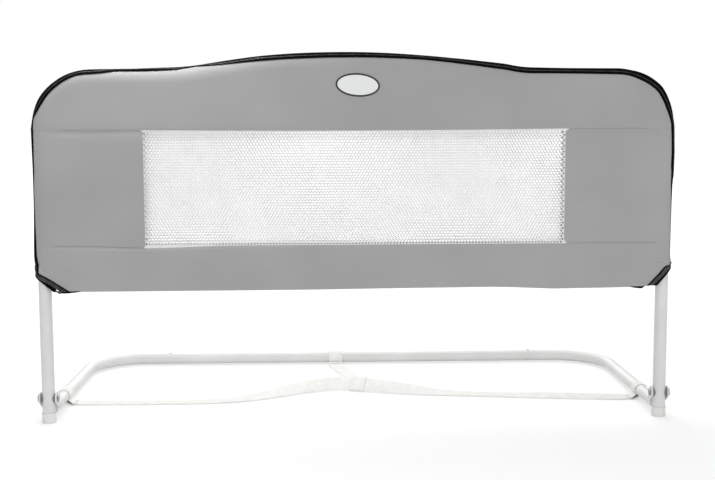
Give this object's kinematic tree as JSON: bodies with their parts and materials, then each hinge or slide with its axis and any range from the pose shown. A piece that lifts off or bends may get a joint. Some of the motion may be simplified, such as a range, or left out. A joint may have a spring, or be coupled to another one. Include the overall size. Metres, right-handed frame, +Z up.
{
  "type": "folding bed guard rail",
  "caption": "Free-standing bed guard: humped tube frame in a zipped fabric cover with a net window, hinged to a U-shaped tube base with a webbing strap.",
  "frame": {"origin": "on the floor, below the middle of the frame and base together", "axes": "+X to the right along the guard, +Y from the guard towards the bed, along the base's arms, +Z up"},
  "size_m": [0.9562, 0.4288, 0.5508],
  "materials": {
    "white_paint": "semi-gloss white powder coat",
    "white_plastic": "moulded",
    "zinc_steel": "zinc plated",
    "spring_steel": "plain",
    "black_nylon": "moulded",
    "grey_cloth": "plain woven polyester",
    "white_net": "knitted polyester net",
    "black_tape": "woven tape",
    "zip_coil": "nylon coil",
    "white_webbing": "woven webbing",
    "badge_face": "satin label",
    "badge_border": "overlocked edge"
  },
  "bodies": {
    "guard": {"left_side_tube": "white_paint", "right_side_tube": "white_paint", "top_rail": "white_paint", "left_foot_cap": "white_plastic", "right_foot_cap": "white_plastic", "left_rail_button_leaf": "spring_steel", "right_rail_button_leaf": "spring_steel", "left_hinge_bolt": "zinc_steel", "right_hinge_bolt": "zinc_steel", "left_hinge_nut": "zinc_steel", "right_hinge_nut": "zinc_steel", "left_outer_saddle_washer": "black_nylon", "right_outer_saddle_washer": "black_nylon", "left_inner_saddle_washer": "black_nylon", "right_inner_saddle_washer": "black_nylon", "cover_front_upper": "grey_cloth", "cover_front_lower": "grey_cloth", "cover_front_left": "grey_cloth", "cover_front_right": "grey_cloth", "cover_front_net": "white_net", "cover_back_upper": "grey_cloth", "cover_back_lower": "grey_cloth", "cover_back_left": "grey_cloth", "cover_back_right": "grey_cloth", "cover_back_net": "white_net", "cover_hem_strip": "grey_cloth", "cover_gusset": "black_tape", "zip_inner_tape": "black_tape", "zip_coil": "zip_coil", "zip_outer_tape": "black_tape", "cover_back_binding": "black_tape", "badge_border": "badge_border", "badge_face": "badge_face"},
    "base": {"left_hinge_fork": "white_paint", "right_hinge_fork": "white_paint", "left_base_arm": "white_paint", "right_base_arm": "white_paint", "base_crossbar": "white_paint", "left_base_button_leaf": "spring_steel", "right_base_button_leaf": "spring_steel", "left_arm_loop": "white_webbing", "right_arm_loop": "white_webbing", "crossbar_loop": "white_webbing", "long_strap": "white_webbing", "tether_strap": "white_webbing", "tether_loop": "white_webbing"},
    "left_rail_button": {"left_rail_button": "zinc_steel"},
    "right_rail_button": {"right_rail_button": "zinc_steel"},
    "left_base_button": {"left_base_button": "zinc_steel"},
    "right_base_button": {"right_base_button": "zinc_steel"},
    "zip_slider": {"zip_slider": "zinc_steel"}
  },
  "joints": [
    {"name": "base_fold", "type": "hinge", "parent": "guard", "child": "base", "pos_m": [0, -0.19595, 0.037], "axis": [1, 0, 0], "range_deg": [0, 90]},
    {"name": "left_rail_button_press", "type": "slide", "parent": "guard", "child": "left_rail_button", "axis": [0, 0, 1], "range_m": [0, 0.002], "stiffness_N_per_m": 800, "springref_m": -0.003, "deforming": ["left_rail_button_leaf"]},
    {"name": "right_rail_button_press", "type": "slide", "parent": "guard", "child": "right_rail_button", "axis": [0, 0, 1], "range_m": [0, 0.002], "stiffness_N_per_m": 800, "springref_m": -0.003, "deforming": ["right_rail_button_leaf"]},
    {"name": "left_base_button_press", "type": "slide", "parent": "base", "child": "left_base_button", "axis": [0, -0.014, -0.9999], "range_m": [0, 0.002], "stiffness_N_per_m": 800, "springref_m": -0.003, "deforming": ["left_base_button_leaf"]},
    {"name": "right_base_button_press", "type": "slide", "parent": "base", "child": "right_base_button", "axis": [0, -0.014, -0.9999], "range_m": [0, 0.002], "stiffness_N_per_m": 800, "springref_m": -0.003, "deforming": ["right_base_button_leaf"]},
    {"name": "zip_slide", "type": "slide", "parent": "guard", "child": "zip_slider", "axis": [-0.8057, 0, 0.5924], "range_m": [0, 0.022]}
  ]
}
